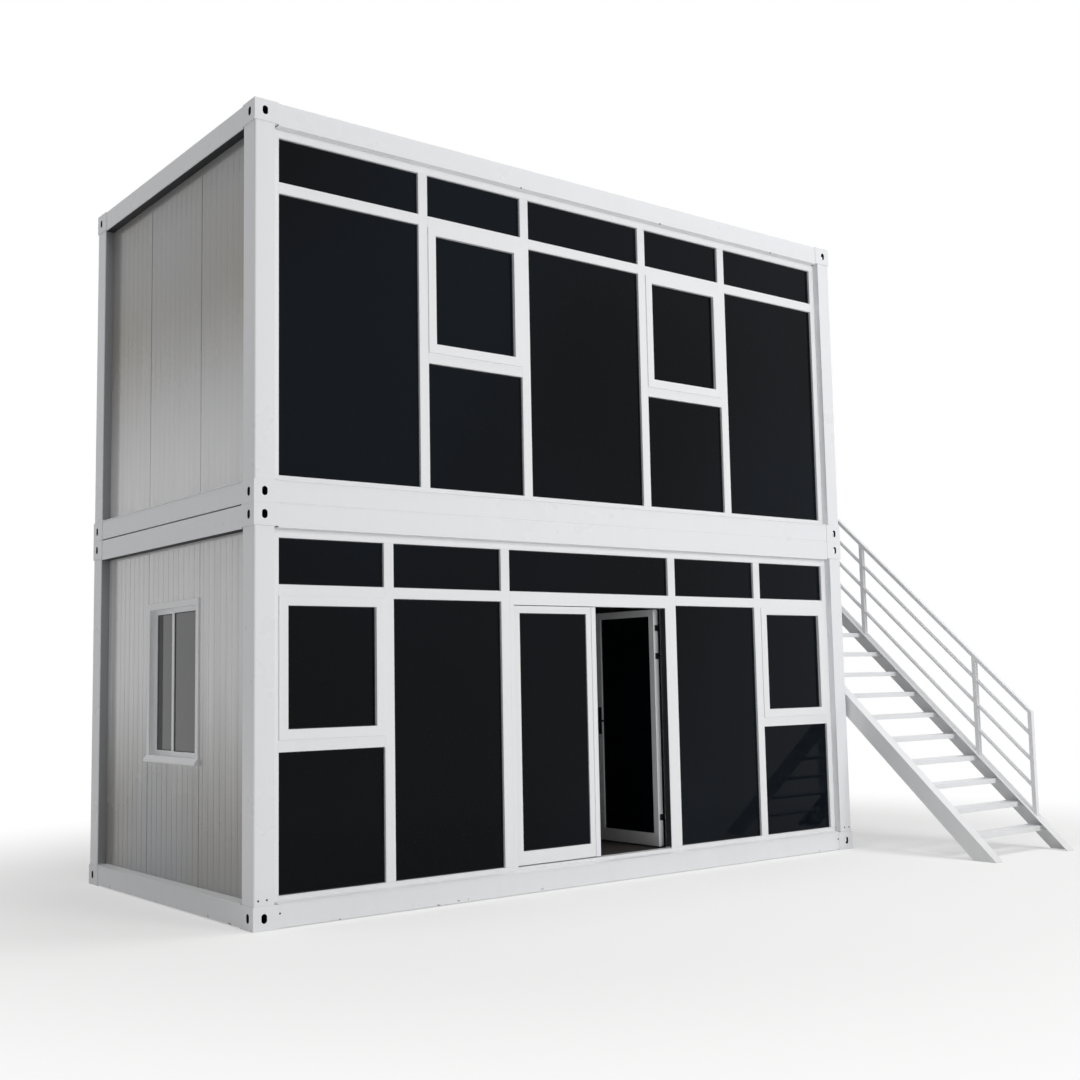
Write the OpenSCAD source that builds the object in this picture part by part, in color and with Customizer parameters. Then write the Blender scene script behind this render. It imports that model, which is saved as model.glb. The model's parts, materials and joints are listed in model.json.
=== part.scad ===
// Two-storey container cabin: two flat-pack modules stacked, with a glazed front,
// sandwich-panel walls, a double entrance door and an outside steel stair.
// Cabin axes: X along the front to the right, Y to the back, Z up, in millimetres.
// The finished part has its origin on the ground, in the middle of its outline.

/* [Module] */
// Length of a module along its glazed front
module_l = 5950; // [5700:10:6200]
// Depth of a module from front to back
module_w = 3000; // [2850:10:3200]
// Height of a module
module_h = 2800; // [2720:10:3000]

/* [Steel frame] */
// Width of a corner post on the front face
post_w = 155; // [140:1:165]
// Width of a corner post on the end face
post_d = 175; // [155:1:178]
// Depth of the folded post legs
post_t = 60; // [50:1:70]
// Radius of the folded outer edge of a post
post_r = 14; // [6:1:24]
// Width of a corner casting on the front face
casting_w = 183; // [175:1:200]
// Width of a corner casting on the end face
casting_d = 190; // [182:1:210]
// Height of a corner casting and of the base rails
casting_h = 155; // [140:1:165]
// Wall thickness of a corner casting
casting_t = 14; // [10:1:20]
// Stand-out of the castings beyond posts and rails
casting_proud = 4; // [2:1:8]
// Width of a lifting hole
hole_w = 40; // [30:1:48]
// Height of a lifting hole
hole_h = 62; // [52:1:70]
// Distance of a lifting hole from the outer edge of its casting
hole_edge = 80; // [70:1:85]
// Height of the top rails
top_rail_h = 165; // [160:1:180]
// Thickness of the rail steel
rail_t = 6; // [4:1:10]
// Gap between a rail and the plane where modules meet
rail_gap = 5; // [3:1:8]

/* [Walls, floor and roof] */
// Thickness of a sandwich panel
panel_t = 75; // [60:1:100]
// Width of a full sandwich panel
panel_w = 950; // [900:10:1000]
// Joint between two panels
panel_joint = 3; // [2:0.5:5]
// Space between the post legs and the panels behind them
panel_gap = 11; // [6:1:20]
// How far the back panels reach behind the posts
panel_lap = 40; // [20:1:60]
// Distance from groove to groove on a panel
groove_pitch = 95; // [80:1:160]
// Width of a panel groove
groove_w = 12; // [8:1:24]
// Depth of a panel groove
groove_d = 2; // [1:0.5:5]
// Width of the bevel along the upright edges of a panel
joint_bevel_w = 6; // [3:0.5:10]
// Depth of the bevel along the upright edges of a panel
joint_bevel_d = 5; // [2:0.5:10]
// Height of the finished floor above the module's foot
floor_h = 185; // [175:1:195]
// Height of the underside of the floor
floor_z = 30; // [10:1:60]
// Thickness of the ceiling cassette
ceiling_t = 95; // [80:1:110]
// Distance from rib to rib of the roof sheet
roof_pitch = 280; // [220:10:340]
// Height of the roof ribs
roof_rib_h = 38; // [25:1:42]
// Width of a roof rib at its foot
rib_foot = 93; // [80:1:110]
// Width of a roof rib at its crest
rib_crest = 56; // [40:1:70]
// Thickness of the roof sheet
roof_t = 4; // [3:1:6]
// Height of a sill at its outer edge
sill_lip = 5; // [3:1:8]
// Height of a sill at the wall
sill_h = 15; // [10:1:20]

/* [Glazed front] */
// Depth of the aluminium frame
frame_d = 70; // [60:1:80]
// Visible width of the outer stiles
stile_w = 60; // [50:1:70]
// Reach of the outer stiles behind the posts
stile_lap = 20; // [10:1:30]
// Width of a mullion or transom
bar_w = 80; // [70:1:90]
// Height of the bottom bar of the frame
foot_bar_h = 45; // [40:1:60]
// Height of the head bar of the frame
head_bar_h = 60; // [50:1:70]
// Top of the low fixed lights above the module's foot
low_light_top = 1135; // [1000:5:1250]
// Height of the top lights between transom and head bar
top_light_h = 317; // [265:1:395]
// Width of a sash bay on the ground floor
lower_sash_bay = 925; // [850:5:1000]
// Width of a sash bay on the upper floor
upper_sash_bay = 950; // [850:5:1050]
// Width of a sash stile
sash_stile = 68; // [55:1:80]
// Height of a sash bottom rail
sash_foot = 70; // [60:1:90]
// Height of a sash top rail
sash_head = 62; // [50:1:80]
// Stand-out of a sash in front of the frame
sash_proud = 8; // [4:1:14]
// Depth of a sash
sash_d = 56; // [40:1:62]
// Thickness of the double glazing
glass_t = 24; // [18:1:28]

/* [Entrance door] */
// Clear width between the door jambs
door_w = 1570; // [1400:5:1700]
// Width of a door jamb
jamb_w = 40; // [35:1:55]
// Drop of the door head below the transoms
door_head_drop = 23; // [13:1:98]
// Top of the threshold above the module's foot
threshold_z = 190; // [180:1:200]
// Thickness of a door leaf
leaf_t = 50; // [40:1:54]
// Setback of the leaves from the front of the frame
leaf_inset = 16; // [10:1:16]
// Gap round the door leaves
leaf_gap = 5; // [5:1:8]
// Gap under the door leaves
leaf_foot_gap = 8; // [6:1:12]
// Gap between the two leaves
meeting_gap = 8; // [8:1:12]
// Distance of the meeting line from the middle of the front
meeting_shift = 37; // [0:1:60]
// Width of the hinge stile of a leaf
leaf_stile = 58; // [50:1:80]
// Width of the meeting stile of a leaf
meeting_stile = 94; // [80:1:110]
// Height of the top rail of a leaf
leaf_head = 56; // [50:1:80]
// Height of the bottom rail of a leaf
leaf_foot = 102; // [90:1:140]
// Opening angle of the right leaf as it stands
right_leaf_open = 90; // [0:1:90]
// Distance of a hinge axis from the edge of the doorway
hinge_set = 30; // [12:1:36]
// Radius of a hinge barrel
hinge_r = 9; // [7:0.5:9]
// Length of a hinge barrel
hinge_l = 70; // [60:1:130]
// Height of the door handle above the foot of the leaf
handle_h = 1020; // [850:5:1100]
// Width of the cover strip on the meeting stile
astragal_w = 44; // [30:1:60]
// Thickness of the cover strip on the meeting stile
astragal_t = 6; // [4:1:10]

/* [Left window] */
// Height of the window above the module's foot
window_z = 1020; // [900:5:1100]
// Height of the wall above the window
window_head = 415; // [385:5:700]
// Width of the window frame bars
window_bar = 48; // [40:1:60]
// Stand-out of the window frame in front of the wall
window_proud = 10; // [4:1:20]
// Reach of the window sill in front of its frame
window_sill_reach = 25; // [10:1:40]
// Height of the window sill at its outer edge
window_sill_lip = 14; // [6:1:30]
// Width of a sliding sash bar
slider_bar = 38; // [30:1:45]
// Thickness of a sliding sash
slider_t = 26; // [20:1:28]
// Setback of the outer sliding sash from the wall face
track_inset = 8; // [4:1:12]
// Gap between the two sliding sashes
track_gap = 2; // [1:0.5:4]
// Thickness of the window glass
pane_t = 8; // [4:1:16]

/* [Side door on the landing] */
// Width of the side door opening
side_door_w = 900; // [800:5:960]
// Height of the wall above the side door
side_door_head = 370; // [300:5:450]
// Width of the side door frame bars
side_frame_w = 45; // [35:1:60]
// Distance of the side door from the back wall
side_door_back = 120; // [100:5:200]
// Thickness of the side door leaf
side_leaf_t = 45; // [38:1:50]
// Setback of the side door leaf from the wall face
side_leaf_inset = 10; // [4:1:20]
// Distance of the side door handle from the free edge of its leaf
side_handle_set = 60; // [45:1:90]

/* [Outside stair] */
// Gap between the cabin and the stair
stair_gap = 30; // [20:1:60]
// Width of the stair over both stringers
stair_w = 1170; // [1000:5:1300]
// Number of rises up to the landing
rises = 15; // [14:1:16]
// Going of one step
going = 215; // [205:1:225]
// Depth of the landing from its front edge to the back of the cabin
landing_l = 1205; // [1180:5:1300]
// Depth of a stringer
stringer_d = 150; // [130:1:180]
// Width of the upper flange of a stringer
flange_w = 100; // [70:1:110]
// Thickness of the stringer steel
stringer_t = 8; // [6:1:10]
// Height of the stringer edge above the line of the treads
stringer_lift = 40; // [36:1:60]
// Depth of a tread
tread_d = 175; // [150:1:180]
// Height of the folded front edge of a tread
tread_lip = 42; // [30:1:55]
// Thickness of the tread plate
tread_t = 6; // [4:1:8]
// Height of the landing beams
landing_beam_h = 150; // [130:1:160]
// Width of the landing beams
landing_beam_w = 60; // [50:1:80]
// Thickness of the landing deck
deck_t = 6; // [5:1:8]
// Width of a bracket between the landing and the cabin
bracket_w = 140; // [100:5:180]
// Side of a landing leg
leg_w = 100; // [80:1:110]
// Side of a leg's foot plate
foot_w = 180; // [160:1:200]
// Thickness of a leg's foot plate
foot_t = 12; // [8:1:16]

/* [Railings] */
// Height of the top rail above the stringer or the landing
rail_h = 930; // [850:5:1100]
// Side of a railing post
rail_post = 40; // [30:1:50]
// Height of the top rail section
top_rail = 45; // [35:1:60]
// Height of a middle rail section
mid_rail = 25; // [18:1:32]
// Number of middle rails
mid_rails = 3; // [2:1:4]

/* [Hidden] */

// Paint and material colours
white_paint = "gainsboro";
panel_paint = "lightgray";
alloy = "whitesmoke";
dark_glass = "midnightblue";
black_metal = "dimgray";
sheet_grey = "silver";
board = "tan";

// Planes of the frame, measured inwards from a module's outer faces
face = casting_proud;
leg_back = face + post_t;
wall_out = leg_back + panel_gap;
wall_in = wall_out + panel_t;
glaze_in = leg_back + frame_d;
wall_foot = casting_h;
wall_top = module_h - top_rail_h;
upper_z = module_h;
seal = 1;
cut = 1;

// Room outline inside the walls of a module
room_x0 = wall_in;
room_x1 = module_l - wall_in;
room_y0 = glaze_in;
room_y1 = module_w - wall_in;

// Ends of the end walls, and the joints on either side of their middle panel
end_y0 = room_y0 + seal;
end_y1 = room_y1 - seal;
end_joint0 = (module_w - panel_w) / 2;
end_joint1 = (module_w + panel_w) / 2;

// Glazing bays
bay_x0 = post_w;
bay_x1 = module_l - post_w;
upper_fixed_bay = round((bay_x1 - bay_x0 - 2 * upper_sash_bay) / 3);
lower_fixed_bay = (bay_x1 - bay_x0 - bar_w - door_w) / 2 - jamb_w - lower_sash_bay;
upper_lines = [bay_x0, bay_x0 + upper_fixed_bay, bay_x0 + upper_fixed_bay + upper_sash_bay,
    bay_x1 - upper_fixed_bay - upper_sash_bay, bay_x1 - upper_fixed_bay, bay_x1];
lower_lines = [bay_x0, bay_x0 + lower_sash_bay, bay_x0 + lower_sash_bay + lower_fixed_bay,
    bay_x1 - lower_sash_bay - lower_fixed_bay, bay_x1 - lower_sash_bay, bay_x1];
upper_sash_bays = [1, 3];
lower_sash_bays = [0, 4];
door_bay = 2;
last_bay = len(upper_lines) - 2;
light_z = wall_foot + foot_bar_h;
head_z = wall_top - head_bar_h;
sash_z = low_light_top + bar_w;
top_light_z = head_z - top_light_h;
transom_z = top_light_z - bar_w;
glass_y = leg_back + (frame_d - glass_t) / 2;

// Doorway
door_x0 = lower_lines[door_bay] + bar_w / 2 + jamb_w;
door_x1 = lower_lines[door_bay + 1] - bar_w / 2 - jamb_w;
meeting_x = module_l / 2 + meeting_shift;
leaf_y = leg_back + leaf_inset;
leaf_z0 = threshold_z + leaf_foot_gap;
door_head_z = transom_z - door_head_drop;
leaf_z1 = door_head_z - leaf_gap;
left_x0 = door_x0 + leaf_gap;
left_x1 = meeting_x - meeting_gap / 2;
right_x0 = meeting_x + meeting_gap / 2;
right_x1 = door_x1 - leaf_gap;
flap_t = 4;
flap_margin = 2;
flap_w = jamb_w - flap_margin;
knuckle_gap = 0.3;
hinge_y = glaze_in + seal + hinge_r;
left_axis = door_x0 - hinge_set;
right_axis = door_x1 + hinge_set;
hinge_heights = [0.12, 0.8, 0.92];
plate_w = 34;
plate_h = 230;
plate_t = 6;
lever_r = 9;
lever_l = 115;
lever_reach = 48;

// Left window
window_y0 = (module_w - panel_w) / 2 + panel_joint / 2;
window_y1 = (module_w + panel_w) / 2 - panel_joint / 2;
window_h = wall_top - window_head - window_z;
slider_w = (window_y1 - window_y0) / 2 - window_bar + slider_bar;
outer_track = wall_out + track_inset;
inner_track = outer_track + slider_t + track_gap;

// Side door
side_y1 = room_y1 - side_door_back;
side_y0 = side_y1 - side_door_w;
side_z1 = wall_top - side_door_head;

// Stair geometry, in the YZ plane beside the right end
landing_z = upper_z + floor_h;
landing_y0 = module_w - landing_l;
rise = landing_z / rises;
pitch = rise / going;
pitch_angle = atan(pitch);
stair_x0 = module_l + stair_gap;
stair_x1 = stair_x0 + stair_w;
stringer_drop = stringer_d / cos(pitch_angle);
flange_drop = stringer_t / cos(pitch_angle);
toe_y = stair_edge_y(0);
rail_x = stair_x1 - flange_w / 2;

// Railing posts of the stair, counted in treads from the ground
post_steps = [1.3, 3.9, 9.8, rises - 0.35];
rail_posts = [for (i = post_steps) tread_y(i)];

function tread_y(i) = landing_y0 - (rises - i) * going;
function stair_edge_z(y) = landing_z + stringer_lift + (y - landing_y0) * pitch;
function stair_edge_y(z) = landing_y0 + (z - landing_z - stringer_lift) / pitch;
function is_sash(bay, sash_bays) = len(search(bay, sash_bays)) > 0;
function light_x0(lines, bay) = lines[bay] + (bay == 0 ? stile_w : bar_w / 2);
function light_x1(lines, bay) = lines[bay + 1] - (bay == last_bay ? stile_w : bar_w / 2);

// Sets the finished part on its own origin
module place() {
    translate([-stair_x1 / 2, -(toe_y + module_w) / 2, 0])
        children();
}

// Box from one corner to the opposite one
module block(a, b) {
    translate(a)
        cube(b - a);
}

// Repeats a shape of the left front corner in all four corners of a module
module corners() {
    for (right = [0, 1])
        for (back = [0, 1])
            translate([right * module_l, back * module_w, 0])
                mirror([right, 0, 0])
                    mirror([0, back, 0])
                        children();
}

// Cutter for a slot with round ends through one casting wall, lying flat
module slot_cut() {
    linear_extrude(casting_t + 2 * cut, center = true)
        union() {
            square([hole_w, hole_h - hole_w], center = true);
            for (side = [-1, 1])
                translate([0, side * (hole_h - hole_w) / 2])
                    circle(d = hole_w, $fn = 48);
        }
}

// Hollow corner casting of the left front corner, standing on z = 0,
// with slots in its front, its end and the plate at plate_z
module casting(plate_z) {
    difference() {
        cube([casting_w, casting_d, casting_h]);
        block([casting_t, casting_t, casting_t],
            [casting_w - casting_t, casting_d - casting_t, casting_h - casting_t]);
        translate([hole_edge, casting_t / 2, casting_h / 2])
            rotate([90, 0, 0])
                slot_cut();
        translate([casting_t / 2, hole_edge, casting_h / 2])
            rotate([90, 0, 90])
                slot_cut();
        translate([hole_edge, hole_edge, plate_z])
            slot_cut();
    }
}

module castings() {
    color(white_paint)
        corners() {
            casting(casting_t / 2);
            translate([0, 0, module_h - casting_h])
                casting(casting_h - casting_t / 2);
        }
}

// Channel rail along X: web outside, flanges pointing inwards
module channel(length, depth, height) {
    rotate([90, 0, 90])
        linear_extrude(length)
            difference() {
                square([depth, height]);
                translate([rail_t, rail_t])
                    square([depth, height - 2 * rail_t]);
            }
}

// Four rails of one height round a module
module rail_ring(z, height) {
    front_l = module_l - 2 * casting_w;
    side_l = module_w - 2 * casting_d;
    translate([casting_w, face, z])
        channel(front_l, glaze_in - face, height);
    translate([module_l - casting_w, module_w - face, z])
        rotate([0, 0, 180])
            channel(front_l, wall_in - face, height);
    translate([face, module_w - casting_d, z])
        rotate([0, 0, -90])
            channel(side_l, wall_in - face, height);
    translate([module_l - face, casting_d, z])
        rotate([0, 0, 90])
            channel(side_l, wall_in - face, height);
}

module rails() {
    color(white_paint) {
        rail_ring(rail_gap, casting_h - rail_gap);
        rail_ring(wall_top, top_rail_h - rail_gap);
    }
}

// Folded angle post with a rounded outer edge
module corner_posts() {
    color(white_paint)
        corners()
            translate([face, face, casting_h])
                linear_extrude(module_h - 2 * casting_h)
                    union() {
                        translate([post_r, 0])
                            square([post_w - face - post_r, post_t]);
                        translate([0, post_r])
                            square([post_t, post_d - face - post_r]);
                        translate([post_r, post_r])
                            circle(r = post_r, $fn = 48);
                    }
}

// Sloping sill along X with its foot on a base rail
module sill(length, depth) {
    rotate([90, 0, 90])
        linear_extrude(length)
            polygon([[0, 0], [depth, 0], [depth, sill_h], [0, sill_lip]]);
}

module sills() {
    front_l = module_l - 2 * casting_w;
    side_l = module_w - 2 * casting_d;
    color(alloy)
        translate([0, 0, wall_foot]) {
            translate([casting_w, 0, 0])
                sill(front_l, leg_back);
            translate([module_l - casting_w, module_w, 0])
                rotate([0, 0, 180])
                    sill(front_l, wall_out);
            translate([0, module_w - casting_d, 0])
                rotate([0, 0, -90])
                    sill(side_l, wall_out);
            translate([module_l, casting_d, 0])
                rotate([0, 0, 90])
                    sill(side_l, wall_out);
        }
}

// Cassette that fills the room outline, notched round the castings
module cassette(z0, z1) {
    difference() {
        block([room_x0, room_y0, z0], [room_x1, room_y1, z1]);
        corners()
            translate([-cut, -cut, z0 - cut])
                cube([casting_w + cut + seal, casting_d + cut + seal, z1 - z0 + 2 * cut]);
    }
}

module floor_cassette() {
    color(board)
        cassette(floor_z, floor_h);
}

module ceiling_cassette() {
    color(white_paint)
        cassette(wall_top, wall_top + ceiling_t);
}

// Trapezoidal sheet lying on the upper ceiling, ribs from front to back
module roof_sheet() {
    edge = casting_w + seal;
    ribs = floor((module_l - 2 * edge) / roof_pitch);
    x0 = module_l / 2 - ribs * roof_pitch / 2;
    middles = [for (i = [0 : ribs - 1]) x0 + (i + 0.5) * roof_pitch];
    top = [for (x = middles) each [[x - rib_foot / 2, 0], [x - rib_crest / 2, roof_rib_h],
        [x + rib_crest / 2, roof_rib_h], [x + rib_foot / 2, 0]]];
    y0 = max(room_y0, casting_d) + seal;
    y1 = module_w - casting_d - seal;
    color(sheet_grey)
        translate([0, y1, upper_z + wall_top + ceiling_t])
            rotate([90, 0, 0])
                linear_extrude(y1 - y0)
                    polygon(concat([[edge, 0]], top, [[module_l - edge, 0], [module_l - edge, roof_t]],
                        [for (i = [len(top) - 1 : -1 : 0]) top[i] + [0, roof_t]],
                        [[edge, roof_t]]));
}

// Sandwich panel along X, its grooved face on y = 0
module panel(length, height) {
    grooves = floor((length - groove_w - 2 * joint_bevel_w) / groove_pitch);
    first = (length - (grooves - 1) * groove_pitch) / 2;
    middles = [for (i = [0 : grooves - 1]) first + i * groove_pitch];
    outer = [for (x = middles) each [[x - groove_w / 2, 0], [x - groove_w / 4, groove_d],
        [x + groove_w / 4, groove_d], [x + groove_w / 2, 0]]];
    linear_extrude(height)
        polygon(concat([[0, joint_bevel_d], [joint_bevel_w, 0]], outer,
            [[length - joint_bevel_w, 0], [length, joint_bevel_d], [length, panel_t], [0, panel_t]]));
}

// Panel of the left end between two Y values and two heights
module left_panel(y0, y1, z0, z1) {
    translate([wall_out, y1 - panel_joint / 2, z0])
        rotate([0, 0, -90])
            panel(y1 - y0 - panel_joint, z1 - z0);
}

// Panel of the right end, the mirror image of the left one
module right_panel(y0, y1, z0, z1) {
    translate([module_l, 0, 0])
        mirror([1, 0, 0])
            left_panel(y0, y1, z0, z1);
}

module back_wall() {
    x0 = post_w - panel_lap;
    x1 = module_l - x0;
    count = round((x1 - x0) / panel_w);
    step = (x1 - x0) / count;
    color(panel_paint)
        for (i = [0 : count - 1])
            translate([x1 - i * step - panel_joint / 2, module_w - wall_out, wall_foot])
                rotate([0, 0, 180])
                    panel(step - panel_joint, wall_top - wall_foot);
}

module lower_left_wall() {
    color(panel_paint) {
        left_panel(end_y0, end_joint0, wall_foot, wall_top);
        left_panel(end_joint0, end_joint1, wall_foot, window_z);
        left_panel(end_joint0, end_joint1, window_z + window_h, wall_top);
        left_panel(end_joint1, end_y1, wall_foot, wall_top);
    }
}

module lower_right_wall() {
    color(panel_paint) {
        right_panel(end_y0, end_joint0, wall_foot, wall_top);
        right_panel(end_joint0, end_joint1, wall_foot, wall_top);
        right_panel(end_joint1, end_y1, wall_foot, wall_top);
    }
}

module upper_left_wall() {
    color(panel_paint)
        translate([0, 0, upper_z]) {
            left_panel(end_y0, end_joint0, wall_foot, wall_top);
            left_panel(end_joint0, end_joint1, wall_foot, wall_top);
            left_panel(end_joint1, end_y1, wall_foot, wall_top);
        }
}

module upper_right_wall() {
    color(panel_paint)
        translate([0, 0, upper_z]) {
            right_panel(end_y0, end_joint0, wall_foot, wall_top);
            right_panel(end_joint0, side_y0, wall_foot, wall_top);
            right_panel(side_y0, side_y1, side_z1, wall_top);
            right_panel(side_y1, end_y1, wall_foot, wall_top);
        }
}

// Bar of the glazed front between two X values and two heights
module front_bar(x0, x1, z0, z1) {
    block([x0, leg_back, z0], [x1, glaze_in, z1]);
}

// Pane of double glazing
module pane(x0, x1, z0, z1) {
    block([x0, glass_y, z0], [x1, glass_y + glass_t, z1]);
}

// Outer stiles and mullions, standing between the bottom bar and the head bar
module mullions(lines) {
    color(alloy)
        for (i = [0 : last_bay + 1])
            front_bar(lines[i] - (i == 0 ? stile_lap : i > last_bay ? stile_w : bar_w / 2),
                lines[i] + (i == 0 ? stile_w : i > last_bay ? stile_lap : bar_w / 2),
                light_z, head_z);
}

// Transom of one bay, and the bar over the low light of a sash bay
module bay_transoms(lines, bay, sash_bays) {
    x0 = light_x0(lines, bay);
    x1 = light_x1(lines, bay);
    front_bar(x0, x1, transom_z, top_light_z);
    if (is_sash(bay, sash_bays))
        front_bar(x0, x1, low_light_top, sash_z);
}

// Opening sash of one bay, a frame that stands out in front of the mullions
module sash(lines, bay) {
    x0 = light_x0(lines, bay);
    x1 = light_x1(lines, bay);
    translate([0, leg_back - sash_proud + sash_d, 0])
        rotate([90, 0, 0])
            linear_extrude(sash_d)
                difference() {
                    translate([x0, sash_z])
                        square([x1 - x0, transom_z - sash_z]);
                    translate([x0 + sash_stile, sash_z + sash_foot])
                        square([x1 - x0 - 2 * sash_stile,
                            transom_z - sash_z - sash_foot - sash_head]);
                }
}

// Panes of one bay
module bay_panes(lines, bay, sash_bays) {
    x0 = light_x0(lines, bay);
    x1 = light_x1(lines, bay);
    pane(x0, x1, top_light_z, head_z);
    if (is_sash(bay, sash_bays)) {
        pane(x0, x1, light_z, low_light_top);
        pane(x0 + sash_stile, x1 - sash_stile, sash_z + sash_foot, transom_z - sash_head);
    } else if (lines != lower_lines || bay != door_bay) {
        pane(x0, x1, light_z, transom_z);
    }
}

module lower_transoms() {
    color(alloy) {
        front_bar(bay_x0 - stile_lap, door_x0 - jamb_w, wall_foot, light_z);
        front_bar(door_x1 + jamb_w, bay_x1 + stile_lap, wall_foot, light_z);
        front_bar(bay_x0 - stile_lap, bay_x1 + stile_lap, head_z, wall_top);
        front_bar(door_x0, door_x1, wall_foot, threshold_z);
        front_bar(door_x0 - jamb_w, door_x1 + jamb_w, door_head_z, top_light_z);
        for (bay = [0 : last_bay])
            if (bay != door_bay)
                bay_transoms(lower_lines, bay, lower_sash_bays);
    }
}

module upper_transoms() {
    color(alloy)
        translate([0, 0, upper_z]) {
            front_bar(bay_x0 - stile_lap, bay_x1 + stile_lap, wall_foot, light_z);
            front_bar(bay_x0 - stile_lap, bay_x1 + stile_lap, head_z, wall_top);
            for (bay = [0 : last_bay])
                bay_transoms(upper_lines, bay, upper_sash_bays);
        }
}

module sashes(lines, sash_bays) {
    color(alloy)
        for (bay = sash_bays)
            sash(lines, bay);
}

module front_glass(lines, sash_bays) {
    color(dark_glass)
        for (bay = [0 : last_bay])
            bay_panes(lines, bay, sash_bays);
}

// Rectangular frame in the YZ plane, lying from x = 0 to its thickness
module end_frame(y0, y1, z0, z1, bar, thickness) {
    rotate([90, 0, 90])
        linear_extrude(thickness)
            difference() {
                translate([y0, z0])
                    square([y1 - y0, z1 - z0]);
                translate([y0 + bar, z0 + bar])
                    square([y1 - y0 - 2 * bar, z1 - z0 - 2 * bar]);
            }
}

module left_window_frame() {
    color(alloy)
        translate([wall_out - window_proud, 0, 0]) {
            end_frame(window_y0, window_y1, window_z, window_z + window_h, window_bar,
                panel_t + window_proud);
            translate([0, window_y1, window_z])
                rotate([90, 0, 0])
                    linear_extrude(window_y1 - window_y0)
                        polygon([[0, 0], [0, window_bar], [-window_sill_reach, window_sill_lip],
                            [-window_sill_reach, 0]]);
        }
}

module left_window_sashes() {
    z0 = window_z + window_bar;
    z1 = window_z + window_h - window_bar;
    color(alloy) {
        translate([outer_track, 0, 0])
            end_frame(window_y0 + window_bar, window_y0 + window_bar + slider_w, z0, z1,
                slider_bar, slider_t);
        translate([inner_track, 0, 0])
            end_frame(window_y1 - window_bar - slider_w, window_y1 - window_bar, z0, z1,
                slider_bar, slider_t);
    }
}

module left_window_glass() {
    z0 = window_z + window_bar + slider_bar;
    z1 = window_z + window_h - window_bar - slider_bar;
    inset = window_bar + slider_bar;
    glass_w = slider_w - 2 * slider_bar;
    x = (slider_t - pane_t) / 2;
    color(dark_glass) {
        block([outer_track + x, window_y0 + inset, z0],
            [outer_track + x + pane_t, window_y0 + inset + glass_w, z1]);
        block([inner_track + x, window_y1 - inset - glass_w, z0],
            [inner_track + x + pane_t, window_y1 - inset, z1]);
    }
}

module entrance_jambs() {
    color(alloy) {
        front_bar(door_x0 - jamb_w, door_x0, wall_foot, door_head_z);
        front_bar(door_x1, door_x1 + jamb_w, wall_foot, door_head_z);
    }
}

// Repeats a shape made round the left door axis at every hinge of one leaf
module at_hinges(x) {
    for (share = hinge_heights)
        translate([x, hinge_y, leaf_z0 + share * (leaf_z1 - leaf_z0)])
            children();
}

// Lower knuckle of a hinge with its flap on the jamb
module jamb_knuckle() {
    length = (hinge_l - knuckle_gap) / 2;
    translate([0, 0, -hinge_l / 2]) {
        cylinder(r = hinge_r, h = length, $fn = 40);
        translate([-flap_w, glaze_in - hinge_y, 0])
            cube([flap_w, flap_t, length]);
    }
}

// Upper knuckle of a hinge with an arm over the jamb and a flap on the closed leaf
module leaf_knuckle() {
    length = (hinge_l - knuckle_gap) / 2;
    leaf_x = hinge_set + leaf_gap;
    leaf_back = leaf_y + leaf_t - hinge_y;
    arm_front = seal - hinge_y + glaze_in;
    translate([0, 0, knuckle_gap / 2]) {
        cylinder(r = hinge_r, h = length, $fn = 40);
        block([0, arm_front, 0], [leaf_x + flap_w, arm_front + flap_t, length]);
        block([leaf_x, leaf_back, 0], [leaf_x + flap_w, arm_front + flap_t, length]);
    }
}

module entrance_hinges() {
    color(black_metal) {
        at_hinges(left_axis)
            jamb_knuckle();
        at_hinges(right_axis)
            mirror([1, 0, 0])
                jamb_knuckle();
    }
}

// Closed door leaf between two X values, with stiles of two widths
module leaf(x0, x1, stile0, stile1) {
    translate([0, leaf_y + leaf_t, 0])
        rotate([90, 0, 0])
            linear_extrude(leaf_t)
                difference() {
                    translate([x0, leaf_z0])
                        square([x1 - x0, leaf_z1 - leaf_z0]);
                    translate([x0 + stile0, leaf_z0 + leaf_foot])
                        square([x1 - x0 - stile0 - stile1,
                            leaf_z1 - leaf_z0 - leaf_foot - leaf_head]);
                }
}

module leaf_glass(x0, x1, stile0, stile1) {
    y = leaf_y + (leaf_t - glass_t) / 2;
    block([x0 + stile0, y, leaf_z0 + leaf_foot],
        [x1 - stile1, y + glass_t, leaf_z1 - leaf_head]);
}

module left_leaf() {
    color(alloy) {
        leaf(left_x0, left_x1, leaf_stile, meeting_stile);
        block([left_x1 - astragal_w, leaf_y - astragal_t, leaf_z0],
            [left_x1, leaf_y, leaf_z1]);
        at_hinges(left_axis)
            leaf_knuckle();
    }
}

module left_leaf_glass() {
    color(dark_glass)
        leaf_glass(left_x0, left_x1, leaf_stile, meeting_stile);
}

// Swings the right leaf and what it carries to where it stands
module swing_right() {
    translate([right_axis, hinge_y, 0])
        rotate([0, 0, -right_leaf_open])
            translate([-right_axis, -hinge_y, 0])
                children();
}

module right_leaf() {
    color(alloy)
        swing_right() {
            leaf(right_x0, right_x1, leaf_stile, leaf_stile);
            at_hinges(right_axis)
                mirror([1, 0, 0])
                    leaf_knuckle();
        }
}

module right_leaf_glass() {
    color(dark_glass)
        swing_right()
            leaf_glass(right_x0, right_x1, leaf_stile, leaf_stile);
}

// Plate and lever on one face, standing out towards -Y
module lever() {
    translate([-plate_w / 2, -plate_t, -plate_h / 2])
        cube([plate_w, plate_t, plate_h]);
    rotate([90, 0, 0])
        cylinder(r = lever_r, h = lever_reach, $fn = 32);
    translate([-lever_r, -lever_reach, 0])
        rotate([0, 90, 0])
            cylinder(r = lever_r, h = lever_l, $fn = 32);
}

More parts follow.
